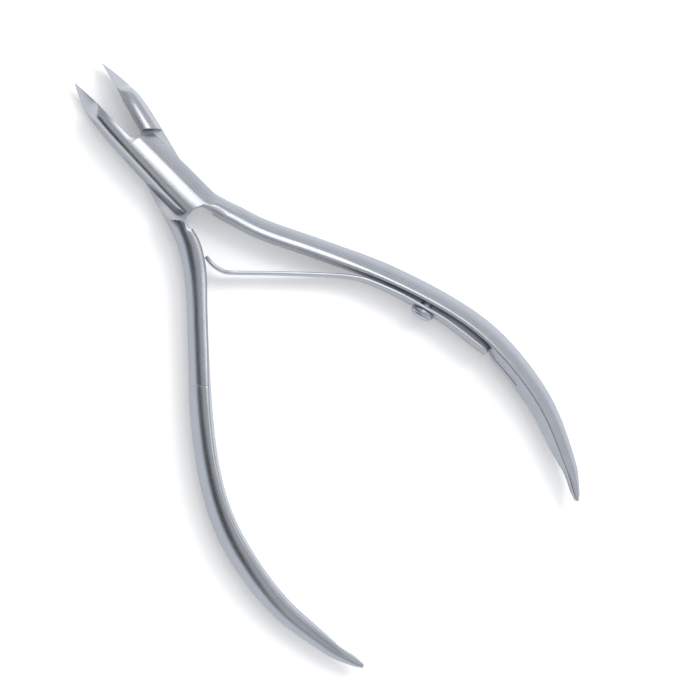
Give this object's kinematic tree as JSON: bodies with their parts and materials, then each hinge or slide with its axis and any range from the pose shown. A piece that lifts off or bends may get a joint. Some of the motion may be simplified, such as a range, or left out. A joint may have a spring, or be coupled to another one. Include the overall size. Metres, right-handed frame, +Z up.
{
  "type": "cuticle nipper",
  "caption": "Lap-jointed steel cuticle nipper with pointed half jaws, slim bowed handles and a single leaf spring riveted to the right handle, lying open.",
  "frame": {"origin": "on the pivot axis, at the flush flat head of the pivot rivet, which is the level of the joint's underside", "axes": "+Z up along the pivot axis, away from the surface it lies on; +Y towards the jaw tips; +X towards the handle with the leaf spring"},
  "size_m": [0.0568, 0.1002, 0.0065],
  "materials": {
    "lever_steel": "satin ground with polished crowns",
    "spring_steel": "bright rolled strip",
    "rivet_steel": "semi-bright turned"
  },
  "bodies": {
    "lower": {"lower_lever": "lever_steel"},
    "upper": {"upper_lever": "lever_steel", "pivot_rivet": "rivet_steel", "leaf_spring": "spring_steel", "spring_rivet": "rivet_steel"}
  },
  "joints": [
    {"name": "jaw_pivot", "type": "hinge", "parent": "lower", "child": "upper", "pos_m": [0, 0, 0], "axis": [0, 0, -1], "range_deg": [0, 15.2], "stiffness_Nm_per_rad": 1.2, "springref_deg": -4.58, "deforming": ["leaf_spring"]}
  ]
}
